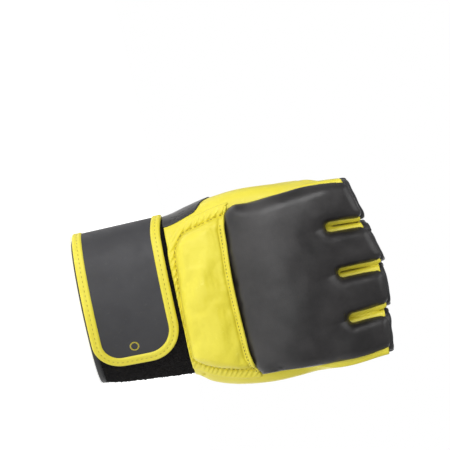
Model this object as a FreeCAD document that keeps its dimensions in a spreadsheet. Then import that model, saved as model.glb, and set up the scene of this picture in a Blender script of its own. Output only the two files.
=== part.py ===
"""A left-hand MMA glove standing on its wrist cuff, fingers up.

Frame, in millimetres: +Z runs from the cuff to the fingertips, -Y is the back of the hand, +Y the
palm, -X the little finger's side and +X the thumb's side. The origin is the middle of the wrist
opening, on the plane that the cuff stands on.

The hand part and the cuff are nested shells, lofted through oval sections, so every layer keeps its
place when a section changes. The finger stalls are sleeves with a foam block on the back.
"""
import FreeCAD, Part
import os

import Sketcher

V = FreeCAD.Vector
doc = FreeCAD.newDocument("mma_glove")
nodes = []

# ---------------------------------------------------------------- driving dimensions
DIMENSIONS = {
    # the hand's stretches along Z, and the cavity's oval at each height between them
    "cuff_length": 62, "wrist_length": 36, "knuckle_length": 64,
    "cuff_foot_half_width": 41.5, "cuff_foot_half_depth": 23, "cuff_foot_shift": 0,
    "cuff_top_half_width": 43, "cuff_top_half_depth": 21, "cuff_top_shift": 1,
    "pad_seam_half_depth": 17.5, "pad_seam_shift": 5, "pad_seam_taper": 0.5,
    "slot_base_half_depth": 13.5, "slot_base_shift": 8,
    # layers
    "layer_gap": 0.2, "lining_wall": 1.2, "leather_wall": 1.6, "sleeve_wall": 2, "panel_wall": 1.5,
    "wrist_foam": 11, "knuckle_foam": 20, "pad_side": 2.5, "knuckle_bulge": 9, "pad_skin": 1.4,
    "thumb_reach": 3.5, "pad_joint": 1, "hem_height": 4, "halves_gap": 1,
    # palm
    "curl_limit": 30, "fold_clearance": 0.8, "gusset_length": 32, "gusset_reach": -29,
    "opening_spread": 3.5, "opening_offset": 3, "opening_half_height": 33, "opening_lip": 4.5,
    "opening_tilt": 10, "binding_width": 5, "binding_proud": 1,
    # strap
    "strap_clearance": 0.5, "strap_wall": 2, "strap_foot": 1.5, "strap_head": 2, "strap_end": 2.5,
    "strap_corner": 20, "edging_width": 7, "edging_proud": 0.3, "strap_anchor": 27,
    "strap_fold_gap": 0.6, "hook_wall": 0.8, "hook_length": 46, "hook_inset": 4, "hook_seat": 0.1,
    # finger stalls
    "finger_width": 26, "finger_depth": 22, "finger_corner": 8, "slot_width": 4, "row_shift": 1,
    "row_overhang": 3.5, "finger_lining": 0.8, "stall_gap": 3, "outer_foam": 13.5, "inner_foam": 18,
    "foam_corner": 6, "stall_skin": 1.3, "tip_binding": 5,
    "little_length": 24, "ring_length": 32.5, "middle_length": 31.5, "index_length": 28,
    "outer_palm_face": 11.5, "inner_palm_face": 14, "web_wall": 1.6, "web_height": 8, "web_seat": 0.4,
}
DERIVED = {
    "cuff_foot": "0",
    "cuff_top": "cuff_length",
    "pad_seam": "cuff_top + wrist_length",
    "slot_base": "pad_seam + knuckle_length",
    "stall_foot": "slot_base + stall_gap",
    "curl_axis": "slot_base + stall_gap / 2",
    # the palm leather ends below what the stalls' feet sweep as the fingers curl
    "palm_top": "curl_axis - inner_palm_face * sin ( curl_limit ) - fold_clearance",
    "gusset_top": "cuff_top + gusset_length",
    "opening_half_width": "( cuff_top_half_width + pad_seam_half_width ) / 2 + opening_spread",
    "opening_shift": "pad_seam_shift - opening_offset",
    "opening_height": "cuff_top + opening_lip + opening_half_height",
    "strap_width": "cuff_top - strap_foot - strap_head",
    "strap_reach": "cuff_foot_shift + cuff_foot_half_width - strap_end",
    "finger_pitch": "finger_width + slot_width",
    "slot_base_half_width": "2 * finger_width + 1.5 * slot_width - row_overhang",
    "pad_seam_half_width": "slot_base_half_width - pad_seam_taper",
    "little_place": "slot_base_shift + row_shift - 1.5 * finger_pitch",
}
FINGERS = (("little", "outer"), ("ring", "inner"), ("middle", "inner"), ("index", "outer"))
FAR = 200.0  # half size of the boxes that only divide space

dims = doc.addObject("Spreadsheet::Sheet", "dims")
for row, (alias, value) in enumerate(DIMENSIONS.items(), start=1):
    dims.set(f"A{row}", alias)
    dims.set(f"B{row}", str(value))
    dims.setAlias(f"B{row}", alias)
doc.recompute()


def d(text):
    """An expression on the sheet: aliases become references to cells, derived sizes their terms."""
    words = []
    for word in text.replace("(", " ( ").replace(")", " ) ").split():
        if word in DERIVED:
            word = f"( {d(DERIVED[word])} )"
        elif word in DIMENSIONS:
            word = f"dims.{word}"
        words.append(word)
    return " ".join(words).replace("sin (", "sin(")


def keep(obj, label):
    obj.Label = label
    nodes.append(obj)
    return obj


# ---------------------------------------------------------------- lofted shells
def oval(name, station, more_width, more_depth):
    """The section's oval, grown by two allowances."""
    o = doc.addObject("Part::Ellipse", name)
    o.setExpression("MajorRadius", d(f"{station}_half_width + {more_width}"))
    o.setExpression("MinorRadius", d(f"{station}_half_depth + {more_depth}"))
    o.setExpression("Placement.Base.x", d(f"{station}_shift"))
    o.setExpression("Placement.Base.z", d(station))
    return o


def loft(name, stations, more_width, more_depth=None):
    depth = more_width if more_depth is None else more_depth
    o = doc.addObject("Part::Loft", name)
    o.Sections = [oval(f"{name}_{s}", s, f"( {more_width} )", f"( {depth} )") for s in stations]
    o.Solid = True
    return o


CUFF = ("cuff_foot", "cuff_top")
HAND = ("cuff_top", "pad_seam", "slot_base")


def cut(name, base, tool):
    o = doc.addObject("Part::Cut", name)
    o.Base = base
    o.Tool = tool
    return o


def common(name, base, tool):
    o = doc.addObject("Part::Common", name)
    o.Base = base
    o.Tool = tool
    return o


def fuse(name, base, tool):
    o = doc.addObject("Part::Fuse", name)
    o.Base = base
    o.Tool = tool
    return o


def region(name, x=None, y=None, z=None):
    """A box that divides space: each axis is (low, high), where None runs out of the object."""
    o = doc.addObject("Part::Box", name)
    for axis, size, span in (("x", "Length", x), ("y", "Width", y), ("z", "Height", z)):
        low, high = span or (None, None)
        low_text = str(-FAR) if low is None else low
        high_text = str(FAR * 2) if high is None else high
        o.setExpression(f"Placement.Base.{axis}", d(low_text))
        o.setExpression(size, d(f"( {high_text} ) - ( {low_text} )"))
    return o


# ---------------------------------------------------------------- sketched prisms
def plane_of(body, role):
    return next(f for f in body.Origin.OriginFeatures if f.Role == role)


def rounded_rectangle(sketch, tag, centre_x, centre_y, width, height, radius):
    """Four lines and four tangent arcs, held by expressions on the sheet."""
    w, h, r = 40.0, 24.0, 4.0
    corners = ((w, h, 0), (-w, h, 90), (-w, -h, 180), (w, -h, 270))
    first = sketch.GeometryCount
    for x, y, start in corners:
        centre = V(x - r * (1 if x > 0 else -1), y - r * (1 if y > 0 else -1), 0)
        circle = Part.Circle(centre, V(0, 0, 1), r)
        turn = 3.141592653589793 / 180
        sketch.addGeometry(Part.ArcOfCircle(circle, start * turn, (start + 90) * turn))
    ends = (((w - r, h), (r - w, h)), ((-w, h - r), (-w, r - h)),
            ((r - w, -h), (w - r, -h)), ((w, r - h), (w, h - r)))
    for (x1, y1), (x2, y2) in ends:
        sketch.addGeometry(Part.LineSegment(V(x1, y1, 0), V(x2, y2, 0)))
    for i in range(4):
        arc, after, line = first + i, first + (i + 1) % 4, first + 4 + i
        sketch.addConstraint(Sketcher.Constraint("Tangent", arc, 2, line, 1))
        sketch.addConstraint(Sketcher.Constraint("Tangent", line, 2, after, 1))
        way = "Horizontal" if i % 2 == 0 else "Vertical"
        sketch.addConstraint(Sketcher.Constraint(way, line))
        if i:
            sketch.addConstraint(Sketcher.Constraint("Equal", first, arc))
    top, left, bottom, right = (first + 4 + i for i in range(4))

    def size(kind, name, text, *where):
        number = sketch.addConstraint(Sketcher.Constraint(kind, *where))
        sketch.renameConstraint(number, f"{tag}_{name}")
        sketch.setExpression(f"Constraints.{tag}_{name}", d(text))

    size("Radius", "radius", radius, first, r)
    size("DistanceX", "width", width, left, 1, right, 1, 2 * w)
    size("DistanceY", "height", height, bottom, 1, top, 1, 2 * h)
    size("DistanceX", "right_edge", f"( {centre_x} ) + ( {width} ) / 2", -1, 1, right, 1, w)
    size("DistanceY", "top_edge", f"( {centre_y} ) + ( {height} ) / 2", -1, 1, top, 1, h)


def prism(name, outlines, foot, height, role="XY_Plane"):
    """A Body: one sketch of rounded rectangles, the second inside the first, padded from foot."""
    body = doc.addObject("PartDesign::Body", name)
    sketch = body.newObject("Sketcher::SketchObject", f"{name}_sketch")
    sketch.AttachmentSupport = [(plane_of(body, role), "")]
    sketch.MapMode = "FlatFace"
    sketch.setExpression("AttachmentOffset.Base.z", d(foot))
    doc.recompute()
    for number, outline in enumerate(outlines):
        rounded_rectangle(sketch, f"outline{number}", *outline)
    pad = body.newObject("PartDesign::Pad", f"{name}_pad")
    pad.Profile = sketch
    pad.setExpression("Length", d(height))
    return body


# ---------------------------------------------------------------- cuff
sleeve_in, sleeve_out = "layer_gap", "layer_gap + sleeve_wall"
panel_in = "layer_gap + sleeve_wall + layer_gap"
panel_out = f"{panel_in} + panel_wall"
strap_in = f"{panel_out} + strap_clearance + hook_wall"
strap_out = f"{strap_in} + strap_wall"
above_hem = ("hem_height", "cuff_top - layer_gap")
dorsal = (None, "0 - halves_gap / 2")
palmar = ("halves_gap / 2", None)


def cuff_shell(name, inner, outer):
    return cut(name, loft(f"{name}_outer", CUFF, outer), loft(f"{name}_inner", CUFF, inner))


def hand_shell(name, inner, outer, outer_depth=None):
    outside = loft(f"{name}_outer", HAND, outer, outer_depth)
    return cut(name, outside, loft(f"{name}_inner", HAND, inner))


def build_cuff():
    sleeve = cuff_shell("sleeve_shell", sleeve_in, sleeve_out)
    keep(common("sleeve", sleeve, region("sleeve_zone", z=above_hem)), "cuff_sleeve")
    panel = cuff_shell("panel_shell", panel_in, panel_out)
    loop_zone = region("loop_zone", y=dorsal, z=above_hem)
    keep(common("loop_panel", panel, loop_zone), "cuff_loop_panel")
    palm_zone = region("cuff_palm_zone", y=palmar, z=above_hem)
    keep(common("cuff_palm", panel, palm_zone), "cuff_palm_panel")
    hem = cuff_shell("hem_shell", "0", f"{panel_out}")
    hem_zone = region("hem_zone", z=("cuff_foot", "hem_height - layer_gap"))
    keep(common("hem", hem, hem_zone), "cuff_hem")


# ---------------------------------------------------------------- strap
def strap_outline(name, margin):
    """The strap's outline seen from the back of the hand, shrunk by a margin, as a prism along Y."""
    low = f"strap_foot + {margin}"
    width = f"strap_width - 2 * {margin}"
    length = f"{FAR} + strap_reach - {margin}"
    middle_x = f"( strap_reach - {margin} - {FAR} ) / 2"
    outline = (middle_x, f"{low} + ( {width} ) / 2", length, width, f"strap_corner - {margin}")
    return prism(name, [outline], f"0 - {FAR}", f"2 * {FAR}", "XZ_Plane")


def build_strap():
    leather = cuff_shell("strap_shell", strap_in, strap_out)
    rim = cuff_shell("rim_shell", f"{strap_in} - edging_proud", f"{strap_out} + edging_proud")
    hook = cuff_shell("hook_shell", f"{strap_in} - hook_wall", f"{strap_in} - hook_seat")
    whole = strap_outline("strap_whole", "0")
    middle = strap_outline("strap_middle", "edging_width")
    hook_outline = strap_outline("hook_outline", "( edging_width + hook_inset )")
    edge = cut("strap_edge", whole, middle)
    flap_zone = region("flap_zone", y=(None, "0 - strap_fold_gap"))
    hook_zone = region("hook_zone", x=("strap_reach - edging_width - hook_length", None),
                       y=(None, "0 - strap_fold_gap"))
    keep(common("flap", common("flap_zoned", leather, flap_zone), middle), "strap_flap")
    keep(common("flap_rim", common("flap_rim_zoned", rim, flap_zone), edge), "strap_edging")
    keep(common("hook", common("hook_zoned", hook, hook_zone), hook_outline), "strap_hook_patch")
    wrap_zone = region("wrap_zone", x=(None, "strap_anchor"), y=("strap_fold_gap", None))
    keep(common("wrap", common("wrap_zoned", leather, wrap_zone), middle), "strap_wrap")
    keep(common("wrap_rim", common("wrap_rim_zoned", rim, wrap_zone), edge), "strap_wrap_edging")


# ---------------------------------------------------------------- hand
lining_out = "layer_gap + lining_wall"
foam_in = f"{lining_out} + layer_gap"
leather_out = "layer_gap + leather_wall"


def build_pad(name, foam, zone_z, bulge=None):
    """A foam arch on the back of the hand, and the skin stretched over it. With a bulge, the arch's
    oval is wider than the arch, and upright sides cut it off, so that the pad has full shoulders."""
    zone = region(f"{name}_zone", y=dorsal, z=zone_z)
    hand = loft(f"{name}_hand", HAND, foam_in)

    def arch(part, grow):
        grown = f"{foam_in} + pad_side + {grow}"
        deep = f"{foam_in} + {foam} + {grow}"
        if bulge is None:
            return loft(f"{name}_{part}_arch", HAND, grown, deep)
        block = loft(f"{name}_{part}_block", HAND, f"{grown} + {bulge}", deep)
        half = f"pad_seam_half_width + {grown}"
        sides = region(f"{name}_{part}_sides", z=zone_z,
                       x=(f"pad_seam_shift - ( {half} )", f"pad_seam_shift + thumb_reach + {half}"))
        return common(f"{name}_{part}_arch", block, sides)

    core, lid, skin = arch("core", "0"), arch("lid", "layer_gap"), arch("skin", "layer_gap + pad_skin")
    keep(common(f"{name}_foam", cut(f"{name}_core", core, hand), zone), f"{name}_foam")
    wrap = cut(f"{name}_wrap", cut(f"{name}_skin_over_lid", skin, lid), hand)
    keep(common(f"{name}_skin", wrap, zone), f"{name}_cover")


def opening(name, margin):
    """The palm opening as an oval prism along Y, shrunk by a margin."""
    ovals = []
    for end, y in (("near", 0.0), ("far", FAR)):
        o = doc.addObject("Part::Ellipse", f"{name}_{end}")
        o.setExpression("MajorRadius", d(f"opening_half_width - {margin}"))
        o.setExpression("MinorRadius", d(f"opening_half_height - {margin}"))
        o.Placement = FreeCAD.Placement(V(0, y, 0), FreeCAD.Rotation(V(1, 0, 0), 90))
        ovals.append(o)
    upright = doc.addObject("Part::Loft", f"{name}_upright")
    upright.Sections = ovals
    upright.Solid = True
    placed = doc.addObject("Part::Compound", name)
    placed.Links = [upright]
    placed.Placement.Rotation = FreeCAD.Rotation(V(0, -1, 0), 1)
    placed.setExpression("Placement.Rotation.Angle", d("opening_tilt"))
    placed.setExpression("Placement.Base.x", d("opening_shift"))
    placed.setExpression("Placement.Base.z", d("opening_height"))
    return placed


def build_hand():
    lining = hand_shell("lining_shell", "layer_gap", lining_out)
    lining_zone = region("lining_zone", y=dorsal, z=("cuff_top + layer_gap", "slot_base"))
    keep(common("lining", lining, lining_zone), "hand_lining")
    build_pad("wrist_pad", "wrist_foam", ("cuff_top + layer_gap", "pad_seam - pad_joint / 2"))
    knuckle_zone = ("pad_seam + pad_joint / 2", "slot_base")
    build_pad("knuckle_pad", "knuckle_foam", knuckle_zone, "knuckle_bulge")

    leather = hand_shell("leather_shell", "layer_gap", leather_out)
    hole = opening("opening_outer", "0")
    palm_zone = region("palm_zone", y=palmar, z=("cuff_top + layer_gap", "palm_top"))
    sheet = common("palm_sheet", leather, palm_zone)
    gusset_zone = region("gusset_zone", x=(None, "gusset_reach"), z=(None, "gusset_top"))
    keep(cut("palm", cut("palm_above_gusset", sheet, gusset_zone), hole), "palm_panel")
    below_seam = region("gusset_below_seam", x=(None, "gusset_reach - layer_gap"),
                        z=(None, "gusset_top - layer_gap"))
    keep(cut("gusset", common("gusset_sheet", sheet, below_seam), hole), "side_gusset")

    ring = cut("opening_ring", hole, opening("opening_inner", "binding_width"))
    thick = hand_shell("binding_shell", "layer_gap - binding_proud", f"{leather_out} + binding_proud")
    binding_zone = region("binding_zone", y=palmar, z=("cuff_top + layer_gap", None))
    keep(common("binding", common("binding_ring", thick, ring), binding_zone), "palm_binding")


# ---------------------------------------------------------------- finger stalls
def build_stall(number, finger, place):
    """A leather sleeve with a lining, a foam block with its skin on the back, and a bound rim."""
    x = f"little_place + {number} * finger_pitch"
    palm_face, foam = f"{place}_palm_face", f"{place}_foam"
    y = f"{palm_face} - finger_depth / 2"
    rim_foot = f"slot_base + {finger}_length - tip_binding"
    height = f"{rim_foot} - layer_gap - stall_foot"

    def tube(grow):
        """The outline of the sleeve round the finger, grown by an allowance."""
        return (x, y, f"finger_width + 2 * ( {grow} )", f"finger_depth + 2 * ( {grow} )",
                f"finger_corner + {grow}")

    leather = [tube("0"), tube("0 - leather_wall")]
    keep(prism(f"{finger}_leather", leather, "stall_foot", height), f"{finger}_stall_leather")
    sock_out = "0 - leather_wall - layer_gap"
    sock = [tube(sock_out), tube(f"{sock_out} - finger_lining")]
    keep(prism(f"{finger}_sock", sock, "stall_foot", height), f"{finger}_stall_lining")

    skin = "( stall_skin + layer_gap )"
    foam_width = f"finger_width - 2 * {skin}"
    foam_y = f"{palm_face} - finger_depth - layer_gap - {skin} - {foam} / 2"

    def block(grow):
        """The outline of the foam on the back of the finger, grown by an allowance."""
        return (x, foam_y, f"{foam_width} + 2 * ( {grow} )", f"{foam} + 2 * ( {grow} )",
                f"foam_corner + {grow}")

    keep(prism(f"{finger}_foam", [block("0")], "stall_foot", height), f"{finger}_stall_foam")
    keep(prism(f"{finger}_skin", [block(skin), block("layer_gap")], "stall_foot", height),
         f"{finger}_stall_cover")

    rim_depth = f"( finger_depth + layer_gap + {foam} + 2 * {skin} )"
    rim = (x, f"{palm_face} - {rim_depth} / 2", "finger_width", rim_depth, "finger_corner")
    keep(prism(f"{finger}_rim", [rim, tube("0 - leather_wall")], rim_foot, "tip_binding"),
         f"{finger}_tip_binding")


def build_webs():
    """The leather between two fingers, from the lining on the back to the palm leather."""
    made = None
    for number in range(3):
        x = f"little_place + ( {number} + 0.5 ) * finger_pitch"
        block = region(f"web_block_{number}", x=(f"{x} - web_wall / 2", f"{x} + web_wall / 2"),
                       z=("palm_top - web_height", "palm_top"))
        made = block if made is None else fuse(f"web_blocks_{number}", made, block)
    cavity = loft("web_cavity", HAND, "0 - web_seat")
    keep(common("webs", made, cavity), "finger_webs")


build_cuff()
build_strap()
build_hand()
for number, (finger, place) in enumerate(FINGERS):
    build_stall(number, finger, place)
build_webs()
doc.recompute()

# ---------------------------------------------------------------- checks and export
failed = [o.Name for o in doc.Objects if set(o.State) & {"Invalid", "Error"}]
assert not failed, f"objects failed: {failed}"
os.makedirs("parts", exist_ok=True)
for node in nodes:
    shape = node.Shape
    assert not shape.isNull() and shape.isValid() and shape.Solids, f"{node.Label} has no valid solid"
    box = shape.optimalBoundingBox()
    print(f"{node.Label:24s} {len(shape.Solids)} solids {shape.Volume / 1000:8.2f} cm3  "
          f"x {box.XMin:7.2f} {box.XMax:7.2f}  y {box.YMin:7.2f} {box.YMax:7.2f}  "
          f"z {box.ZMin:7.2f} {box.ZMax:7.2f}")
    shape.exportStep(f"parts/{node.Label}.step")
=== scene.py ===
"""A left-hand MMA glove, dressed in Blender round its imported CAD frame.

Lengths are in millimetres until a mesh is made. +Z runs from the cuff to the fingertips, -Y is the
back of the hand, -X the little finger's side. Soft parts are the zero surfaces of distance fields, so
that pads, leather and seams flow into each other. Straps, rims and stitches are swept along paths.
"""
import math

import bmesh
import bpy
import numpy as np
from mathutils import Matrix, Vector
from mathutils.kdtree import KDTree


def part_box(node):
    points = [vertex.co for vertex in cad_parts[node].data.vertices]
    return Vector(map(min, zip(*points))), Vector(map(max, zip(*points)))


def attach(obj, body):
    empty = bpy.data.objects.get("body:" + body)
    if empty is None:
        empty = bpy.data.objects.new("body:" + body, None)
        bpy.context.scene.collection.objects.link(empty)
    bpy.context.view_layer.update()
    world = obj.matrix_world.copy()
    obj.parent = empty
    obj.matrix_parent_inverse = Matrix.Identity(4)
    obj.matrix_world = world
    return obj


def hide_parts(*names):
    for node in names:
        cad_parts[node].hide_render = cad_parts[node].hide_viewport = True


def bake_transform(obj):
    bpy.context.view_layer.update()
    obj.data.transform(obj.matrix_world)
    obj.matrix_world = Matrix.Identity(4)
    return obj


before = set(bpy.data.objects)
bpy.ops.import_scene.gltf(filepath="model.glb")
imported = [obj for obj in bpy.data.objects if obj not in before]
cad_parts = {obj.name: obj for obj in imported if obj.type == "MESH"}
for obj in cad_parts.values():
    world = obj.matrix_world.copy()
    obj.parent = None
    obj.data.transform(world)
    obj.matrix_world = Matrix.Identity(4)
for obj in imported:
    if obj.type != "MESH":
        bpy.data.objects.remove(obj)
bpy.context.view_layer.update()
scene = bpy.context.scene
MM = 0.001
# the pads' cloth: frames, cell size, kg a point, air pressure, slack, and how far a point may move
CLOTH_FRAMES, CLOTH_CELL, CLOTH_MASS, CLOTH_PRESSURE, CLOTH_SHRINK, CLOTH_CAP = 20, 3.4, 0.02, 4.0, -0.02, 1.4
FINGERS = ("little", "ring", "middle", "index")


def low(node, axis):
    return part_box(node)[0][axis] / MM


def high(node, axis):
    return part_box(node)[1][axis] / MM


# ------------ places taken from the frame
CUFF_TOP = high("cuff_sleeve", 2)
SLOT_BASE = high("knuckle_pad_cover", 2)
PALM_TOP = high("palm_panel", 2)
FINGER_X = {f: (low(f"{f}_stall_leather", 0) + high(f"{f}_stall_leather", 0)) / 2 for f in FINGERS}
PALM_FACE = {f: high(f"{f}_stall_leather", 1) for f in FINGERS}
TIP = {f: high(f"{f}_tip_binding", 2) - {"little": 1.4, "ring": 2.6}.get(f, 0) for f in FINGERS}
# the stalls lean a little towards the middle finger, and their ends are cut on a slant
LEAN = {"little": 1.6, "ring": 0.6, "middle": -0.5, "index": -1.5}
SLANT = {"little": 0.26, "ring": 0.28, "middle": -0.02, "index": -0.09}


# ------------ numbers
def unit(vectors):
    return vectors / np.linalg.norm(vectors, axis=1, keepdims=True)


def steps_along(path):
    """The length gone at each point of a path."""
    return np.concatenate([[0], np.cumsum(np.linalg.norm(np.diff(path, axis=0), axis=1))])


def slope_of(field, x, y, z, h):
    """The field's slope at each point, from its values h away on both sides."""
    return np.stack([field(x + h, y, z) - field(x - h, y, z), field(x, y + h, z) - field(x, y - h, z),
                     field(x, y, z + h) - field(x, y, z - h)], 1) / (2 * h)


def spline(z, knots):
    """A smooth curve through (place, value) knots, level beyond the ends."""
    p, v = (np.array(k, float) for k in zip(*knots))
    slope = np.gradient(v, p)
    slope[0] = slope[-1] = 0
    z = np.clip(z, p[0], p[-1])
    i = np.clip(np.searchsorted(p, z, side="right") - 1, 0, len(p) - 2)
    w = p[i + 1] - p[i]
    t = (z - p[i]) / w
    return (v[i] * (1 + 2 * t) * (1 - t) ** 2 + v[i + 1] * t * t * (3 - 2 * t)
            + w * slope[i] * t * (1 - t) ** 2 - w * slope[i + 1] * t * t * (1 - t))


def ease(t):
    t = np.clip(t, 0, 1)
    return t * t * (3 - 2 * t)


def ridge(distance, width):
    """A bell curve, 1 at distance 0."""
    return np.exp(-(distance / width) ** 2)


def ripple(x, y, z, size, seed):
    """Smooth wandering values from -1 to 1, whose features are about size across."""
    rng = np.random.default_rng(seed)
    total, waves = 0.0, 7
    for _ in range(waves):
        k = rng.normal(size=3)
        k *= 2 * math.pi / size / np.linalg.norm(k) * rng.uniform(0.6, 1.4)
        total = total + np.sin(k[0] * x + k[1] * y + k[2] * z + rng.uniform(0, 6.3))
    return total / waves * 1.6


def oval(dx, dy, a, b, n):
    """Distance from an oval of squareness n, true near its edge."""
    u, v = np.abs(dx) / a + 1e-6, np.abs(dy) / b + 1e-6
    g = (u ** n + v ** n) ** (1 / n)
    return (g - 1) / (g ** (1 - n) * np.hypot(u ** (n - 1) / a, v ** (n - 1) / b))


def round_max(a, b, r):
    """The corner where two fields meet, rounded to radius r."""
    return np.minimum(-r, np.maximum(a, b)) + np.hypot(np.maximum(a + r, 0), np.maximum(b + r, 0))


def round_min(a, b, r):
    """Two fields joined, with the hollow between them rounded to radius r."""
    return -round_max(-a, -b, r)


def new_object(name, points, faces):
    """A new object from points, in millimetres, and faces."""
    mesh = bpy.data.meshes.new(name)
    mesh.from_pydata((points * MM).tolist(), [], faces if isinstance(faces, list) else faces.tolist())
    thing = bpy.data.objects.new(name, mesh)
    scene.collection.objects.link(thing)
    return thing


def make(name, shape, material, body=None, *stands_for):
    """A new piece of the glove, which may ride on a body and stand for CAD nodes."""
    piece = new_object(name, *shape)
    piece.data.polygons.foreach_set("use_smooth", [True] * len(piece.data.polygons))
    piece.data.materials.append(material)
    piece.data.update()
    if stands_for:
        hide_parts(*stands_for)
    if body:
        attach(piece, body)
    return piece


def surface(field, box, step, rounds=3):
    """The zero surface of a field inside a box, as points and four-sided faces.

    Each cell that the surface passes gets one point, and each grid edge that it crosses gets a face.
    The points are then evened out and drawn back onto the surface."""
    axes = [np.arange(a, b + step, step) for a, b in box]
    values = field(*np.meshgrid(*axes, indexing="ij"))
    inside = values < 0
    n = np.array(values.shape) - 1
    corners = np.array(list(np.ndindex(2, 2, 2)))
    count = sum(inside[i:n[0] + i, j:n[1] + j, k:n[2] + k].astype(np.int8) for i, j, k in corners)
    cells = np.argwhere((count > 0) & (count < 8))
    number = np.full(tuple(n), -1)
    number[tuple(cells.T)] = np.arange(len(cells))
    total, hits = np.zeros((len(cells), 3)), np.zeros(len(cells))
    for c in corners:
        for axis in range(3):
            if c[axis]:
                continue
            e = c.copy()
            e[axis] = 1
            va, vb = values[tuple((cells + c).T)], values[tuple((cells + e).T)]
            crossed = (va < 0) != (vb < 0)
            t = np.where(crossed, va / np.where(crossed, va - vb, 1), 0)
            total += np.where(crossed[:, None], c + t[:, None] * (e - c), 0)
            hits += crossed
    points = np.array([a[0] for a in axes]) + step * (cells + total / hits[:, None])
    faces = []
    for axis in range(3):
        u, v = (axis + 1) % 3, (axis + 2) % 3
        change = -np.diff(inside.astype(int), axis=axis)
        around = np.zeros((4, 3), int)
        around[:, u], around[:, v] = (-1, 0, 0, -1), (-1, -1, 0, 0)
        for other in (u, v):
            np.moveaxis(change, other, 0)[0] = 0
        for sign in (1, -1):
            at = np.argwhere(change == sign)
            at = at[(at[:, u] < n[u]) & (at[:, v] < n[v])]
            quads = number[tuple((at[:, None] + around).transpose(2, 0, 1))]
            faces.append(quads if sign > 0 else quads[:, ::-1])
    faces = np.concatenate(faces)
    edges = np.concatenate([faces[:, [i, (i + 1) % 4]] for i in range(4)])
    for _ in range(rounds):
        mean, degree = np.zeros_like(points), np.zeros(len(points))
        for a, b in ((0, 1), (1, 0)):
            for axis in range(3):
                mean[:, axis] += np.bincount(edges[:, a], points[edges[:, b], axis], len(points))
            degree += np.bincount(edges[:, a], minlength=len(points))
        points = points * 0.4 + mean / degree[:, None] * 0.6
        points = settle(field, points, step)
    return settle(field, points, step), faces


def settle(field, points, reach):
    """Moves points onto the field's zero surface."""
    for _ in range(3):
        slope = slope_of(field, *points.T, 0.05)
        move = slope * (field(*points.T) / np.maximum((slope ** 2).sum(1), 0.05))[:, None]
        length = np.linalg.norm(move, axis=1, keepdims=True)
        points = points - move * np.minimum(1, 0.5 * reach / np.maximum(length, 1e-9))
    return points


def blown_up(field, box, sewn):
    """Runs a coarse copy of a pad as cloth with air in it, held where it is sewn down. Returns the
    copy's places and how far each one moved, at most the cap."""
    points, faces = surface(field, box, CLOTH_CELL, 2)
    trial = new_object("trial", points, faces)
    group = trial.vertex_groups.new(name="sewn")
    group.add(np.nonzero(sewn(*points.T))[0].tolist(), 1.0, "REPLACE")
    cloth = trial.modifiers.new("cloth", "CLOTH")
    settings, cache = cloth.settings, cloth.point_cache
    settings.vertex_group_mass = "sewn"
    settings.mass = CLOTH_MASS
    settings.use_pressure = True
    settings.uniform_pressure_force = CLOTH_PRESSURE
    settings.effector_weights.gravity = 0
    settings.shrink_min = CLOTH_SHRINK
    cache.frame_start, cache.frame_end = 1, CLOTH_FRAMES
    for number in range(1, CLOTH_FRAMES + 1):
        scene.frame_set(number)
    settled = trial.evaluated_get(bpy.context.evaluated_depsgraph_get()).data
    after = np.empty(len(points) * 3)
    settled.vertices.foreach_get("co", after)
    move = after.reshape(-1, 3) / MM - points
    length = np.linalg.norm(move, axis=1, keepdims=True)
    scene.frame_set(1)
    bpy.data.objects.remove(trial)
    return points, move * np.minimum(1, CLOTH_CAP / np.maximum(length, 1e-9))


def swollen(points, field, box, sewn):
    """Moves fine points as the simulated points of the coarse copy round them moved."""
    places, moves = blown_up(field, box, sewn)
    tree = KDTree(len(places))
    for i, place in enumerate(places):
        tree.insert(place, i)
    tree.balance()
    result = points.copy()
    for i, point in enumerate(points):
        near = tree.find_n(point, 6)
        weight = np.array([1 / (distance ** 2 + 1.5) for _, _, distance in near])
        result[i] += weight @ moves[[k for _, k, _ in near]] / weight.sum()
    return result


def split(points, faces, keep):
    """The part of a mesh whose faces satisfy keep(their middles)."""
    middle = points[faces].mean(1)
    chosen = faces[keep(*middle.T)]
    used, again = np.unique(chosen, return_inverse=True)
    return points[used], again.reshape(chosen.shape)


def levelled(field, points, faces, level):
    """Brings the points between faces below and above a level exactly to it, along the surface."""
    above = points[faces].mean(1)[:, 2] >= level
    shared = np.intersect1d(faces[above], faces[~above])
    for _ in range(6):
        points[shared, 2] = level
        points[shared] = settle(field, points[shared], 2.0)
    points[shared, 2] = level
    return points


def close(piece, field):
    """Fills the open loops that a split leaves with flat caps. The other faces take their shading from
    the field, so that the split leaves no line."""
    mesh = piece.data
    bm = bmesh.new()
    bm.from_mesh(mesh)
    rims = [e for e in bm.edges if len(e.link_faces) == 1]
    for edge in rims:
        edge.smooth = False
    bmesh.ops.holes_fill(bm, edges=rims, sides=0)
    bm.to_mesh(mesh)
    bm.free()
    place = np.empty(len(mesh.vertices) * 3)
    mesh.vertices.foreach_get("co", place)
    slope = unit(slope_of(field, *(place.reshape(-1, 3) / MM).T, 0.6))
    corner = np.empty(len(mesh.loops), int)
    mesh.loops.foreach_get("vertex_index", corner)
    normals = slope[corner]
    for face in mesh.polygons:
        if face.loop_total > 4:
            normals[face.loop_start:face.loop_start + face.loop_total] = face.normal
    mesh.normals_split_custom_set(normals.tolist())


def grid_faces(rows, columns, wrap_rows=False, wrap_columns=False):
    faces = []
    for i in range(rows if wrap_rows else rows - 1):
        for j in range(columns if wrap_columns else columns - 1):
            k, m = (i + 1) % rows, (j + 1) % columns
            faces.append((i * columns + j, i * columns + m, k * columns + m, k * columns + j))
    return faces


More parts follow.
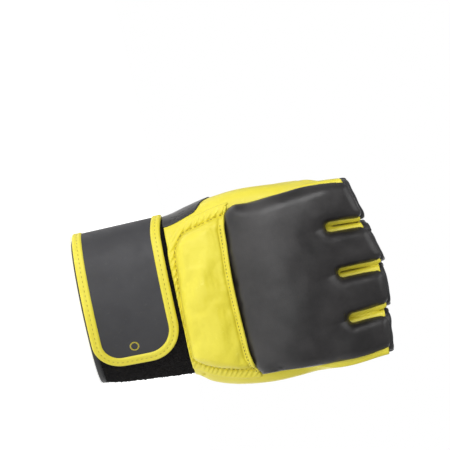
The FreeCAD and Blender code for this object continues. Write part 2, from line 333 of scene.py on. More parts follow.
def sweep(rings, loop=False):
    """Faces and points of a tube through rings of points, capped at the ends unless it is a loop."""
    rings = np.asarray(rings)
    rows, columns = rings.shape[:2]
    faces = grid_faces(rows, columns, loop, True)
    if not loop:
        faces += [tuple(range(columns))[::-1], tuple(range((rows - 1) * columns, rows * columns))]
    return rings.reshape(-1, 3), faces


def slab(top, bottom):
    """A closed sheet between two grids of points."""
    rows, columns = top.shape[:2]
    count = rows * columns
    faces = grid_faces(rows, columns)
    faces += [tuple(count + i for i in f[::-1]) for f in faces]
    edge = [(i, 0) for i in range(rows)] + [(rows - 1, j) for j in range(1, columns)]
    edge += [(i, columns - 1) for i in range(rows - 2, -1, -1)] + [(0, j) for j in range(columns - 2, 0, -1)]
    order = [i * columns + j for i, j in edge]
    for a, b in zip(order, order[1:] + order[:1]):
        faces.append((a, b, count + b, count + a))
    return np.concatenate([top.reshape(-1, 3), bottom.reshape(-1, 3)]), faces


def frames_along(path, up, loop=False):
    """Unit tangent, side and up vectors along a path, where up is a wish for each point."""
    tangent = unit(np.roll(path, -1, 0) - np.roll(path, 1, 0) if loop else np.gradient(path, axis=0))
    side = unit(np.cross(tangent, up))
    return tangent, side, np.cross(side, tangent)


def tube(path, up, section, loop=False):
    """Sweeps a section, given as (side, up) points, along a path."""
    _, side, over = frames_along(path, up, loop)
    rings = [p + s * section[:, :1] + o * section[:, 1:] for p, s, o in zip(path, side, over)]
    return sweep(rings, loop)


def rounded_section(half_width, half_height, squareness=2.5, count=14):
    t = np.arange(count) * 2 * math.pi / count
    way = np.stack([np.cos(t), np.sin(t)], 1)
    return (half_width, half_height) * np.sign(way) * np.abs(way) ** (2 / squareness)


def even(path, spacing, loop=False):
    """Points an even distance apart along a path."""
    if loop:
        path = np.concatenate([path, path[:1]])
    gone = steps_along(path)
    count = max(2, int(round(gone[-1] / spacing)) + (0 if loop else 1))
    at = np.linspace(0, gone[-1], count, endpoint=not loop)
    return np.stack([np.interp(at, gone, path[:, k]) for k in range(path.shape[1])], 1)


def stitches(path, up, length=2.0, pitch=3.1, radius=0.32, loop=False):
    """A row of thread stitches lying along a path, as points and faces."""
    centres = even(path, pitch, loop)
    share, old_share = np.linspace(0, 1, len(centres)), np.linspace(0, 1, len(up))
    wish = np.stack([np.interp(share, old_share, up[:, k]) for k in range(3)], 1)
    tangent, side, over = frames_along(centres, wish, loop)
    points, faces = [], []
    around = np.arange(6) * math.pi / 3
    for c, t, s, o in zip(centres, tangent, side, over):
        rings = []
        for along, size in ((-1, 0.35), (-0.7, 0.9), (0, 1), (0.7, 0.9), (1, 0.35)):
            middle = c + t * along * length / 2 - o * (0.25 * along * along)
            rings.append(middle + radius * size * (np.cos(around)[:, None] * s + np.sin(around)[:, None] * o))
        p, f = sweep(rings)
        faces += [tuple(i + len(points) * len(p) for i in face) for face in f]
        points.append(p)
    return np.concatenate(points), faces


# ------------ materials
class Paint:
    """A procedural material in the making: calls that add nodes return sockets."""
    def __init__(self, name):
        self.material = bpy.data.materials.new(name)
        self.material.use_nodes = True
        self.tree = self.material.node_tree
        self.place = self.tree.nodes.new("ShaderNodeTexCoord").outputs["Object"]

    def fill(self, node, inputs):
        for key, value in inputs.items():
            socket = node.inputs[int(key[1:]) if key[1:].isdigit() else key.replace("_", " ")]
            if isinstance(value, bpy.types.NodeSocket):
                self.tree.links.new(value, socket)
            else:
                socket.default_value = value

    def node(self, kind, output, settings=None, **inputs):
        made = self.tree.nodes.new(f"ShaderNode{kind}")
        for key, value in (settings or {}).items():
            setattr(made, key, value)
        self.fill(made, inputs)
        return made.outputs[output]

    def shader(self, **inputs):
        self.fill(self.tree.nodes["Principled BSDF"], inputs)

    def noise(self, scale, detail=3.0, rough=0.55):
        return self.node("TexNoise", "Fac", Vector=self.place, Scale=scale, Detail=detail, Roughness=rough)

    def ramp(self, value, low_in, high_in, low_out, high_out):
        return self.node("MapRange", "Result", {"clamp": True}, Value=value, From_Min=low_in, From_Max=high_in,
                         To_Min=low_out, To_Max=high_out)

    def mix(self, amount, a, b):
        """Blends two colours, of which the first may be a socket."""
        return self.node("Mix", 2, {"data_type": "RGBA"}, Factor=amount, _7=(*b, 1),
                         _6=(*a, 1) if isinstance(a, tuple) else a)

    def sums(self, operation, a, b):
        return self.node("Math", 0, {"operation": operation}, _0=a, _1=b)

    def bump(self, height, strength, depth_mm, **under):
        return self.node("Bump", "Normal", Height=height, Strength=strength, Distance=depth_mm * MM, **under)


def leather(name, lit, shade, rough, grain_mm=0.9, grain_depth=0.05, soft_depth=0.5, wear=(1, 1, 1), sheen=0.0,
            gloss=0.5):
    """Coated leather: fine pebble grain, slow colour drift, duller patches and paler worn ridges."""
    mat = Paint(name)
    colour = mat.mix(mat.ramp(mat.noise(38.0, 4.0), 0.35, 0.65, 0, 1), lit, shade)
    scuff = mat.ramp(mat.noise(260.0, 5.0, 0.7), 0.6, 0.78, 0, 0.4)
    smudge = mat.ramp(mat.noise(120.0, 2.0), 0.3, 0.7, rough - 0.06, rough + 0.08)
    cells = mat.node("TexVoronoi", "Distance", {"feature": "SMOOTH_F1"}, Vector=mat.place,
                     Scale=1000 / grain_mm)
    fine = mat.bump(cells, 0.35, grain_depth)
    finer = mat.bump(mat.noise(2600 / grain_mm, 2.0), 0.25, grain_depth, Normal=fine)
    soft = mat.bump(mat.noise(60.0), 0.5, soft_depth, Normal=finer)
    mat.shader(Base_Color=mat.mix(scuff, colour, wear), Roughness=smudge, Normal=soft,
               Specular_IOR_Level=gloss, Sheen_Weight=sheen, Sheen_Roughness=0.5)
    return mat.material


def knit(name, lit, shade, pitch_mm=0.9, rough=0.85):
    """Knitted or woven cloth: crossing ribs, with painted shade in the hollows between the yarns."""
    mat = Paint(name)
    ribs = [mat.node("TexWave", "Fac", {"bands_direction": way, "wave_profile": "SIN"}, Vector=mat.place,
                     Scale=1000 / pitch_mm / ratio / 20 * 3.14, Distortion=0.6, Detail=1.0)
            for way, ratio in (("X", 1.0), ("Z", 1.3))]
    weave = mat.sums("MULTIPLY", *ribs)
    drift = mat.noise(150.0)
    # painted shade: the colour goes dark where the weave dips and light on its ribs, varied by a slow random
    # drift
    level = mat.ramp(mat.sums("MULTIPLY", weave, drift), 0.0, 0.5, 0, 1)
    mat.shader(Base_Color=mat.mix(level, shade, lit), Normal=mat.bump(weave, 0.7, 0.25),
               Roughness=mat.ramp(drift, 0.3, 0.7, rough - 0.05, rough + 0.1), Sheen_Weight=0.3)
    return mat.material


def pile(name, lit, shade):
    """Brushed loops: clumps of fibre that catch the light at their tips."""
    mat = Paint(name)
    fibre = mat.noise(2200.0, 4.0, 0.7)
    both = mat.sums("ADD", mat.noise(420.0, 6.0, 0.75), fibre)
    mat.shader(Base_Color=mat.mix(mat.ramp(both, 0.85, 1.25, 0, 1), shade, lit),
               Normal=mat.bump(both, 1.0, 0.9), Roughness=mat.ramp(fibre, 0.3, 0.7, 0.85, 1.0),
               Sheen_Weight=0.04, Specular_IOR_Level=0.12)
    return mat.material


def spotted_mesh(name, cloth, spot):
    """Black mesh cloth with staggered rows of short pale eyelets."""
    mat = Paint(name)
    turned = mat.node("Mapping", 0, {"vector_type": "POINT"}, Vector=mat.place,
                      Rotation=(math.radians(-90), 0, 0), Scale=(1000 / 2.3,) * 3)
    colour = mat.node("TexBrick", "Color", {"offset": 0.5, "squash": 1.0}, Vector=turned, Color1=(*spot, 1),
                      Color2=(*(c * 0.7 for c in spot), 1), Mortar=(*cloth, 1), Scale=1.0, Mortar_Size=0.24,
                      Mortar_Smooth=0.5, Brick_Width=0.95, Row_Height=0.62)
    mat.shader(Base_Color=colour, Normal=mat.bump(colour.node.outputs["Fac"], 0.8, 0.4),
               Roughness=mat.ramp(mat.noise(300.0), 0.3, 0.7, 0.55, 0.8), Sheen_Weight=0.2)
    return mat.material


YELLOW = leather("yellow_leather", (0.735, 0.65, 0.05), (0.69, 0.60, 0.034), 0.45, soft_depth=0.32,
                 wear=(0.9, 0.86, 0.2), sheen=0.05)
CHARCOAL = leather("charcoal_leather", (0.027, 0.025, 0.0255), (0.012, 0.0112, 0.0116), 0.36, 0.8, 0.08, 0.4,
                   wear=(0.04, 0.038, 0.038))
STRAP_GREY = leather("strap_leather", (0.038, 0.038, 0.042), (0.031, 0.031, 0.035), 0.5, 0.7, 0.04, 0.2,
                     wear=(0.08, 0.08, 0.08), gloss=0.38)
BINDING = leather("black_binding", (0.022, 0.022, 0.024), (0.016, 0.016, 0.018), 0.5, 0.6, 0.05, 0.6,
                  wear=(0.06, 0.06, 0.06), sheen=0.1)
SLEEVE = knit("sleeve_fabric", (0.045, 0.043, 0.046), (0.012, 0.012, 0.013))
LOOPS = pile("loop_fabric", (0.017, 0.015, 0.016), (0.003, 0.0027, 0.003))
LINING = spotted_mesh("mesh_lining", (0.010, 0.010, 0.011), (0.13, 0.13, 0.14))
HOOKS = pile("hook_plastic", (0.05, 0.05, 0.05), (0.012, 0.012, 0.012))
YELLOW_THREAD = knit("yellow_thread", (0.52, 0.43, 0.02), (0.36, 0.29, 0.01), 0.4, 0.6)
DARK_THREAD = knit("dark_thread", (0.03, 0.03, 0.03), (0.01, 0.01, 0.01), 0.4, 0.7)

# ------------ the glove's outlines
LITTLE_SIDE = ((60, -47.6), (78, -51), (91, -53.8), (107, -55.6), (130, -54.6), (153, -52.2), (181, -49.8))
PALM_SQUARENESS = ((60, 2.2), (110, 2.5), (150, 4.0))
BACK_SQUARENESS = ((60, 2.5), (90, 3.2), (110, 3.9), (150, 4.4))
THUMB_SIDE = ((60, 56.5), (71, 63), (86, 68), (102, 70.5), (125, 71), (150, 69.5), (187, 68.8))
PALM_DEPTH = ((60, 23.5), (98, 20), (128, 17.2), (148, 15.0), (160, 14.6))
BACK_DEPTH = ((60, 25), (98, 24.5), (130, 23), (160, 22))
PAD_LITTLE_EDGE = ((100, -48), (119, -46.8), (133, -47.8), (150, -49.2), (165, -48.8), (183, -47.6))
PAD_THUMB_EDGE = ((100, 62.5), (122, 63), (143, 64.5), (171, 64.5), (186, 63.5))
PAD_HEIGHT = ((96, 33.2), (104, 36.6), (112, 39.0), (120, 40.4), (129, 40.9), (140, 40.1), (152, 38.1),
              (164, 35.5), (174, 33.1), (184, 30.8), (194, 28))
PAD_SEAM_LINE = ((-52, 107.5), (-47, 103.4), (-40, 100.3), (-23, 98.4), (34, 97.9), (50, 98.8), (57, 100.6),
                 (63, 104))
BLOCK_HALF_WIDTH = 11.7
LIP_BACK = 24.0
LEATHER = 1.6
BACK_SIDE, PALM_SIDE = (-50, -5), (40, 0)   # y ranges that cross the glove's surface from outside
UP = (0.0, 0.0, 1.0)


def seam_height(x):
    """Where the yellow wrist pad meets the knuckle pad: level in the middle, curling up at both sides."""
    return spline(x, PAD_SEAM_LINE)


def stall_middle(f, z):
    return FINGER_X[f] + LEAN[f] * ease((z - 160) / 30)


def stall_end(f, x):
    return TIP[f] + SLANT[f] * (x - FINGER_X[f])


def stall_leather(f, x, y, z):
    """The leather round one finger: wide rounded lips beside the pad, softer corners at the palm."""
    back = ease((2 - y) / 16)
    radius = 7.5 - 4.4 * back
    half_width = 13.2 + (1.6 - 0.4 * ease((z - 160) / 30)) * back
    middle, half_depth = (PALM_FACE[f] - LIP_BACK) / 2, (PALM_FACE[f] + LIP_BACK) / 2
    qx = np.abs(x - stall_middle(f, z)) - (half_width - radius)
    qy = np.abs(y - middle) - (half_depth - radius)
    return np.hypot(np.maximum(qx, 0), np.maximum(qy, 0)) + np.minimum(np.maximum(qx, qy), 0) - radius


def hand_oval(x, y, z, grow=0.0):
    left, right = spline(z, LITTLE_SIDE), spline(z, THUMB_SIDE)
    outer_stalls = ease((z - 112) / 34) * ease((np.abs(x - 9) - 26) / 24)
    depth = np.where(y > 0, spline(z, PALM_DEPTH) - 3.2 * outer_stalls, spline(z, BACK_DEPTH)) + grow
    return oval(x - (left + right) / 2, y, (right - left) / 2 + grow, depth,
                np.where(y > 0, spline(z, PALM_SQUARENESS), spline(z, BACK_SQUARENESS)))


def leather_outside(x, y, z):
    """The outside of the whole yellow leather body, hand and stalls together."""
    hand = round_max(hand_oval(x, y, z), z - (PALM_TOP - 1.2 - 0.5 * y), 2.5)
    stalls = np.min([stall_leather(f, x, y, z) for f in FINGERS], 0)
    palm, side = ease(y / 6), ease((np.abs(x - 9) - 50) / 10)
    fade = ease((152 - 13 * palm + 4 * side - z) / (14 + 26 * side))
    stalls = np.maximum(stalls + (5 + 4 * side) * fade, 138 - 14 * palm - 24 * side - z)
    both = round_min(hand, stalls, 2.0 + 2.0 * palm + 4.0 * side)
    # creases across the palm side of the stalls, and a slow unevenness all over
    nearest = np.min([np.abs(x - stall_middle(f, z)) for f in FINGERS], 0)
    turn = (z - 0.014 * nearest ** 2 + 2.6 * ripple(x, 0 * y, z, 34, 5)) / 6.4
    crease = ridge(turn - np.round(turn), 0.2) * (0.6 + 0.75 * ripple(x, 0 * y, z, 15, 6))
    crease = crease * ease(y / 5) * ease((z - 134) / 14) * ease((10.5 - nearest) / 5)
    return both + 0.65 * crease + 0.32 * ripple(x, y, z, 24, 3)


OPENING_MIDDLE = ((low("palm_binding", 0) + high("palm_binding", 0)) / 2,
                  (low("palm_binding", 2) + high("palm_binding", 2)) / 2 - 0.8)
OPENING_HALF = (51.5, 31.5)
OPENING_TILT = math.radians(15)
OPENING_SQUARENESS = 2.15


def opening_edge(x, z):
    """Distance outside the palm opening, a tilted oval."""
    dx, dz = x - OPENING_MIDDLE[0], z - OPENING_MIDDLE[1]
    c, s = math.cos(OPENING_TILT), math.sin(OPENING_TILT)
    return oval(dx * c + dz * s, dz * c - dx * s, *OPENING_HALF, OPENING_SQUARENESS)


def leather_shell(x, y, z):
    outside = leather_outside(x, y, z)
    # the wall is doubled where the hand and the stalls run together
    wall = LEATHER + 0.9 * ease((z - 100) / 15) * ease((162 - z) / 8)
    shell = np.maximum(outside, -(outside + wall))
    ends = CUFF_TOP - 0.5 - z
    for f in FINGERS:
        near = np.abs(x - stall_middle(f, z)) < 15.5
        ends = np.where(near, np.maximum(ends, z - (stall_end(f, x) - 3.0)), ends)
    shell = np.maximum(shell, ends)
    hole = np.where(y > 2, opening_edge(x, z), 9.0)
    return np.maximum(shell, -hole)


# ------------ pads
def slot_base(x):
    """The foot of the slots between the fingers, which sits higher towards the thumb."""
    return SLOT_BASE + 3.0 * ease((x + 22) / 50)


def pad_outline(x, z):
    """Distance outside the charcoal pad's outline: one broad cushion that ends in four fingers."""
    little, thumb = spline(z, PAD_LITTLE_EDGE) - x, x - spline(z, PAD_THUMB_EDGE)
    blocks = np.inf
    for f in FINGERS:
        middle = stall_middle(f, z)
        before = -9.0 + 0 * x if f == "little" else middle - BLOCK_HALF_WIDTH - x
        after = -9.0 + 0 * x if f == "index" else x - middle - BLOCK_HALF_WIDTH
        block = round_max(round_max(before, after, 0.1), z - (stall_end(f, x) - 0.4), 5.0)
        blocks = np.minimum(blocks, np.maximum(block, SLOT_BASE - 20 - z))
    fingers = round_min(z - slot_base(x), blocks, 3.2)
    return round_max(round_max(round_max(little, seam_height(x) - z, 7), thumb, 0.5), fingers, 4.5)


def pad_height(x, z):
    """How far the charcoal pad stands off the hand, with valleys that run into the slots."""
    nearest = np.min([np.abs(x - stall_middle(f, z)) for f in FINGERS], 0)
    at_fingers = ease((z - 140) / 30)
    valley = 3.8 * ease((z - 142) / 34) * np.clip(nearest / 15, 0, 1.0) ** 2.6
    return spline(z, PAD_HEIGHT) - (8.5 - 5.5 * at_fingers) * np.abs((x - 6) / 58) ** 2.4 - valley


def knuckle_pad(x, y, z):
    """The charcoal pad, rounded over its edges, on the leather of the hand."""
    radius = 5.5 + 3.5 * ease((z - 100) / 16) - 2.5 * ease((z - 150) / 20)
    pad = round_max(pad_outline(x, z), -pad_height(x, z) - y, radius)
    return np.maximum(pad, -(leather_outside(x, y, z) + 0.8)) + 0.25 * ripple(x, y, z, 26, 11)


WRIST_LITTLE_EDGE = ((64, -33), (72, -35.5), (86, -38.8), (104, -42))
WRIST_THUMB_EDGE = ((64, 46), (72, 50), (86, 55), (104, 57.5))
WRIST_FOOT = ((-40, CUFF_TOP + 5.5), (-20, CUFF_TOP + 3.6), (10, CUFF_TOP + 1.2), (50, CUFF_TOP + 0.8))


def wrist_outline(x, z):
    """Distance outside the wrist pad's sewn outline, which is open along the knuckle pad's seam."""
    little, thumb = spline(z, WRIST_LITTLE_EDGE) - x, x - spline(z, WRIST_THUMB_EDGE)
    foot = spline(x, WRIST_FOOT) - z
    return round_max(round_max(little, foot, 9), round_max(thumb, foot, 5), 0.1)


def wrist_panel(x, y, z):
    """The yellow wrist pad, with the flat sewn margin round it in one piece of leather."""
    edge = wrist_outline(x, z)
    crown = 34.8 - 6.0 * np.abs((x - 9) / 52) ** 2.4 - 1.6 * ease((z - 84) / 16)
    crown = crown - 1.5 * ridge(z - seam_height(x) + 3.0, 0.9)
    pad = round_max(edge, -crown - y, 6.5)
    along = z + 0.8 * x
    pucker = np.sin(along * 2 * math.pi / 3.7 + 1.5 * ripple(x, y, z, 15, 8)) * ridge(edge - 2.9, 2.4)
    margin = hand_oval(x, y, z, 1.3) - 0.5 * pucker
    stitched = 1.3 * ridge(edge - 0.7, 0.9)
    panel = round_min(pad, margin, 1.2) + stitched
    panel = round_max(panel, z - (seam_height(x) - 0.2), 1.6)
    panel = np.maximum(panel, CUFF_TOP - 1.0 - z)
    panel = round_max(panel, np.maximum(edge - 7.4, spline(z, LITTLE_SIDE) + 5.0 - x), 0.8)
    return np.maximum(panel, -(leather_outside(x, y, z) + 0.8)) + 0.2 * ripple(x, y, z, 24, 21)


def surface_y(field, x, z, first, last):
    """The y at which each (x, z) first meets the field, going from first to last."""
    y = np.linspace(first, last, 120)[:, None]
    near = np.argmax(field(x + 0 * y, y + 0 * x, z + 0 * y) < 0, 0)
    outer, inner = y[np.maximum(near - 1, 0), 0], y[near, 0]
    for _ in range(12):
        middle = (outer + inner) / 2
        hit = field(x, middle, z) < 0
        outer, inner = np.where(hit, outer, middle), np.where(hit, middle, inner)
    return (outer + inner) / 2


def laid(field, path, spacing, first, last, lift):
    """Points lying on a field along an (x, z) path, and the field's outward direction at each."""
    x, z = even(path, spacing).T
    y = surface_y(field, x, z, first, last)
    up = unit(slope_of(field, x, y, z, 0.6))
    return np.stack([x, y, z], 1) + lift * up, up


def sew_panel(name, path, material, lift, **size):
    """A row of stitches lying on the wrist panel along an (x, z) path."""
    make(name, stitches(*laid(wrist_panel, path, 1.0, *BACK_SIDE, lift), **size), material, "hand")


def build_seams():
    """The welt and the stitching round the wrist pad and beside the knuckle pad."""
    x = np.linspace(-47, 60, 120)
    seam = np.stack([x, seam_height(x) - 0.3], 1)
    points, up = laid(wrist_panel, seam - (0, 1.6), 1.2, *BACK_SIDE, 0.1)
    welt = tube(points + (0, 0, 1.6), up, rounded_section(0.9, 1.0, 2.2, 10))
    make("wrist_pad_welt", welt, YELLOW, "hand")
    sew_panel("wrist_pad_seam_stitches", seam[12:] - (0, 1.9), DARK_THREAD, 0.1, radius=0.2, length=1.3,
              pitch=2.3)
    z = np.linspace(72, 98, 40)
    side = np.stack([spline(z, WRIST_LITTLE_EDGE) - 0.8, z], 1)[::-1]
    turn = [(-35.5, 71.5), (-34.2, 69.8), (-32.2, 68.4), (-29, 67.2)]
    x = np.linspace(-26, 0, 20)
    foot = np.stack([x, spline(x, WRIST_FOOT) - 0.8], 1)
    z = np.linspace(68, 100, 30)
    thumb_side = np.stack([spline(z, WRIST_THUMB_EDGE) + 0.8, z], 1)
    for name, path in (("wrist_pad_stitches", np.concatenate([side, turn, foot])),
                       ("wrist_pad_thumb_stitches", thumb_side)):
        sew_panel(name, path, YELLOW_THREAD, 0.15, radius=0.34, length=1.9, pitch=2.9)


def stall_part(points, faces, f, split_at):
    """The part of a mesh above a height, in one finger's column, halfway to its neighbours."""
    middles = [-999, *FINGER_X.values(), 999]
    before, after = ((middles[i] + middles[i + 1]) / 2 for i in (FINGERS.index(f), FINGERS.index(f) + 1))
    return split(points, faces, lambda x, y, z: (z >= split_at) & (x >= before) & (x < after))


def knuckle_sewn(x, y, z):
    return (leather_outside(x, y, z) < 1.5) | (pad_outline(x, z) > -1.0) & (y > -30)


def wrist_sewn(x, y, z):
    return (wrist_outline(x, z) > -1.5) | (z > seam_height(x) - 2) | (y > -24)


def build_pads():
    box = ((-52, 72), (-46, -8), (94, 200))
    points, faces = surface(knuckle_pad, box, 1.1)
    split_at = SLOT_BASE + 0.2
    points = swollen(levelled(knuckle_pad, points, faces, split_at), knuckle_pad, box, knuckle_sewn)
    part = split(points, faces, lambda x, y, z: z < split_at)
    hand = make("knuckle_pad", part, CHARCOAL, "hand", "knuckle_pad_foam", "knuckle_pad_cover")
    close(hand, knuckle_pad)
    for f in FINGERS:
        piece = make(f"{f}_finger_pad", stall_part(points, faces, f, split_at), CHARCOAL, None,
                     f"{f}_stall_foam", f"{f}_stall_cover")
        close(piece, knuckle_pad)
        bend(piece)
    box = ((-52, 72), (-40, -7), (58, 110))
    points, faces = surface(wrist_panel, box, 0.8)
    points = swollen(points, wrist_panel, box, wrist_sewn)
    wrist = make("wrist_pad", (points, faces), YELLOW, "hand", "wrist_pad_foam", "wrist_pad_cover")


def bend(piece):
    """Bakes a piece of a stall's placement into its mesh, where it stays."""
    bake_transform(piece)


# ------------ leather body
def build_leather():
    points, faces = surface(leather_shell, ((-58, 72), (-27, 26), (58, 196)), 0.85, rounds=2)
    split_at = PALM_TOP - 11
    palm = split(points, faces, lambda x, y, z: z < split_at)
    make("palm_leather", palm, YELLOW, "hand", "palm_panel", "finger_webs")
    for f in FINGERS:
        piece = make(f"{f}_stall_leather_cover", stall_part(points, faces, f, split_at), YELLOW, None,
                     f"{f}_stall_leather")
        bend(piece)


def opening_trim():
    """The binding round the palm opening."""
    c, s = math.cos(OPENING_TILT), math.sin(OPENING_TILT)
    u, v = rounded_section(OPENING_HALF[0] + 0.4, OPENING_HALF[1] + 0.4, OPENING_SQUARENESS, 220).T
    x, z = OPENING_MIDDLE[0] + u * c - v * s, OPENING_MIDDLE[1] + u * s + v * c
    path = even(np.stack([x, surface_y(leather_outside, x, z, *PALM_SIDE) - 0.4, z], 1), 1.6, loop=True)
    up = np.stack([(path[:, 0] - 7) * 0.012, np.ones(len(path)), np.zeros(len(path))], 1)
    return tube(path, up, rounded_section(2.9, 1.9), loop=True)


def hand_lining():
    """The mesh cloth inside the hand, from the back round to the thumb's and the little finger's side."""
    rows, columns = 60, 70
    z = np.linspace(CUFF_TOP + 1, SLOT_BASE - 6, rows)[:, None] * np.ones(columns)
    t = np.radians(np.linspace(-88, 118, columns))[None, :] * np.ones((rows, 1))

    def inside(depth):
        left, right = spline(z, LITTLE_SIDE) + depth, spline(z, THUMB_SIDE) - depth
        a, c = (right - left) / 2, np.cos(t)
        b = np.where(c > 0, spline(z, BACK_DEPTH), spline(z, PALM_DEPTH)) - depth
        power = np.where(c > 0, 0.8, 0.92)
        x = (left + right) / 2 + a * np.sign(t) * np.abs(np.sin(t)) ** power
        return np.stack([x, -b * np.sign(c) * np.abs(c) ** power, z], -1)

    return slab(inside(3.0), inside(2.3))


def build_palm_trim():
    make("palm_opening_binding", opening_trim(), BINDING, "hand", "palm_binding")
    make("hand_mesh_lining", hand_lining(), LINING, "hand", "hand_lining")
    gusset = surface(gusset_shell, ((-58, -24), (-17, 28), (58, 98)), 0.8, rounds=2)
    make("side_gusset_cover", gusset, CHARCOAL, "hand", "side_gusset")


def gusset_shell(x, y, z):
    """The charcoal leather at the little finger's side of the wrist, on top of the yellow."""
    outside = leather_outside(x, y, z) - 0.7
    shell = np.maximum(outside, -(outside + 1.2))
    shell = np.maximum(shell, np.maximum(x - high("side_gusset", 0), z - high("side_gusset", 2)))
    shell = np.maximum(shell, np.maximum(CUFF_TOP - 1 - z, 1.0 - 16.0 * ease((98 - z) / 16) - y))
    return np.maximum(shell, np.where(y > 2, -opening_edge(x, z), -9.0))


# ------------ stall ends
def palm_seam(f, sign):
    """The (x, z) line of a seam on a stall's palm side: into the slot, or down the hand's outer edge."""
    next_to = FINGERS.index(f) + sign
    top = TIP[f] - 6
    if 0 <= next_to < len(FINGERS):
        z = np.linspace(PALM_TOP - 16, top, 60)
        middle = (stall_middle(f, z) + stall_middle(FINGERS[next_to], z)) / 2
        x = middle - sign * (0.9 + 5.3 * ease((z - PALM_TOP + 16) / 14))
    else:
        z = np.linspace(OPENING_MIDDLE[1], top, 90)
        edge = spline(z, THUMB_SIDE) if sign > 0 else spline(z, LITTLE_SIDE)
        at_stall = stall_middle(f, z) + sign * 13.3
        x = edge + (at_stall - edge) * ease((z - PALM_TOP + 26) / 36) - sign * 5.0
    return np.stack([x, z], 1)


def build_palm_seams():
    """Dark seams on the palm side: down both outer edges, and in a narrow V at each slot."""
    section = rounded_section(0.28, 0.3, 2.0, 8)
    for f in FINGERS:
        for name, sign in (("inner", -1), ("outer", 1)):
            seam = tube(*laid(leather_outside, palm_seam(f, sign), 1.2, 30, 0, 0.05), section)
            bend(make(f"{f}_{name}_palm_seam", seam, DARK_THREAD))


# where along the rim, in 48ths, its seam lies
TAB_AT = {"little": 22, "ring": 30, "middle": 18, "index": 44}


def build_rim(f, face):
    """The soft black binding round a stall's end, with its stitches and the tab over its seam."""
    number, stall, back = FINGERS.index(f), f"{f}_stall", 1.3 - LIP_BACK
    section = rounded_section(12.3, (face - back) / 2, 3.6, 96)
    x = section[:, 0] + stall_middle(f, TIP[f])
    path = even(np.stack([x, section[:, 1] + (back + face) / 2, stall_end(f, x) - 2.4], 1), 1.2, loop=True)
    wave = ripple(*path.T, 9, 40 + number)
    path[:, 2] += 0.5 * wave
    path[:, 1] += 0.35 * ripple(*path.T, 12, 50 + number)
    _, side, over = frames_along(path, np.tile(UP, (len(path), 1)), loop=True)
    section = rounded_section(1.55, 2.9, 2.8, 20)
    # a soft fold runs round the binding, with its stitching in the fold
    section[:, 0] -= 0.3 * np.sign(section[:, 0]) * ridge(section[:, 1] + 0.9, 0.7)
    rings = [p + d * section[:, :1] * (1 + 0.1 * w) + o * section[:, 1:]
             for p, d, o, w in zip(path, side, over, wave)]
    make(f"{f}_rim_binding", sweep(rings, loop=True), BINDING, stall, f"{f}_tip_binding")
    outward = side * np.sign((side * (path - path.mean(0))).sum(1))[:, None]
    row = stitches(path + 1.3 * outward - 0.9 * over, outward, loop=True, radius=0.25)
    make(f"{f}_rim_stitches", row, DARK_THREAD, stall)
    tab_path = np.roll(path, -(len(path) * TAB_AT[f] // 48), 0)[:6] + (0, 0, 0.1)
    tab = tube(tab_path, np.tile(UP, (6, 1)), rounded_section(2.1, 3.3, 3.0, 20))
    make(f"{f}_rim_tab", tab, BINDING, stall)


def stall_lining(f, face):
    """The mesh cloth inside a stall, a thin ring below the stall's foam."""
    sides = []
    for depth in (0.0, 0.9):
        rings = []
        for z in np.linspace(SLOT_BASE + 1, TIP[f] - 1.5, 14):
            ring = rounded_section(11.5 - depth, (face + 9.2) / 2 - depth, 3.2, 48)
            x = ring[:, 0] + stall_middle(f, z)
            slant = SLANT[f] * (x - FINGER_X[f]) * ease((z - 170) / 15)
            rings.append(np.stack([x, ring[:, 1] + (face - 11.6) / 2, z + slant], 1))
        sides.append(np.array(rings))
    return sweep(np.concatenate([sides[0], sides[1][::-1]]), loop=True)


def build_stall_ends():
    for f in FINGERS:
        face = PALM_FACE[f] - 0.4
        build_rim(f, face)
        make(f"{f}_mesh_lining", stall_lining(f, face), LINING, f"{f}_stall", f"{f}_stall_lining")

        def fill(x, y, z):
            inside = round_max(stall_leather(f, x, y, z) + 1.7, y + 10.9, 2.0)
            inside = round_max(inside, z - (stall_end(f, x) - 1.0), 3.0)
            return np.maximum(inside, SLOT_BASE + 12 - z) + 0.2 * ripple(x, y, z, 14, 60)

        x = FINGER_X[f]
        box = ((x - 17, x + 17), (-26, -8), (SLOT_BASE + 8, TIP[f] + 6))
        make(f"{f}_pad_end", surface(fill, box, 1.2, 2), CHARCOAL, f"{f}_stall")


# ------------ cuff and strap
HEM_TOP = high("cuff_hem", 2)
CUFF_HALF_WIDTH = ((0, 42.8), (62, 43))
CUFF_HALF_DEPTH = ((0, 23), (62, 21))
PANEL_OUT = 3.9
STRAP_IN, STRAP_OUT = 5.2, 7.4
STRAP_LOW, STRAP_HIGH = low("strap_edging", 2) - 0.2, high("strap_edging", 2)
STRAP_MIDDLE = 30.0
LOW_CORNER, HIGH_CORNER = 18.0, 22.0
EDGING_MIDDLE = 3.3         # how far inside the strap's edge its yellow edging is stitched


def cuff(angle, z, out):
    """A point on the cuff: the angle is 0 at the thumb's side, 90 at the palm and 270 at the back."""
    a = np.interp(z, *zip(*CUFF_HALF_WIDTH)) + out
    b = np.interp(z, *zip(*CUFF_HALF_DEPTH)) + out
    flare = 8.0 * np.clip(z / 62, 0, 1) ** 0.6
    x = np.cos(angle) * (a + np.where(np.cos(angle) > 0, flare * np.cos(angle) ** 2, 0))
    return np.stack([1.8 - 0.8 * z / 62 + x, np.sin(angle) * b, z + 0 * angle], -1)


def cuff_sheet(low_z, high_z, first, last, inner, outer, rows, columns, fuzz=None):
    z = np.linspace(low_z, high_z, rows)[:, None] * np.ones(columns)
    angle = np.linspace(first, last, columns)[None, :] * np.ones((rows, 1))
    lift = outer + fuzz(angle * 45, z) if fuzz else outer
    return slab(cuff(angle, z, lift), cuff(angle, z, inner))


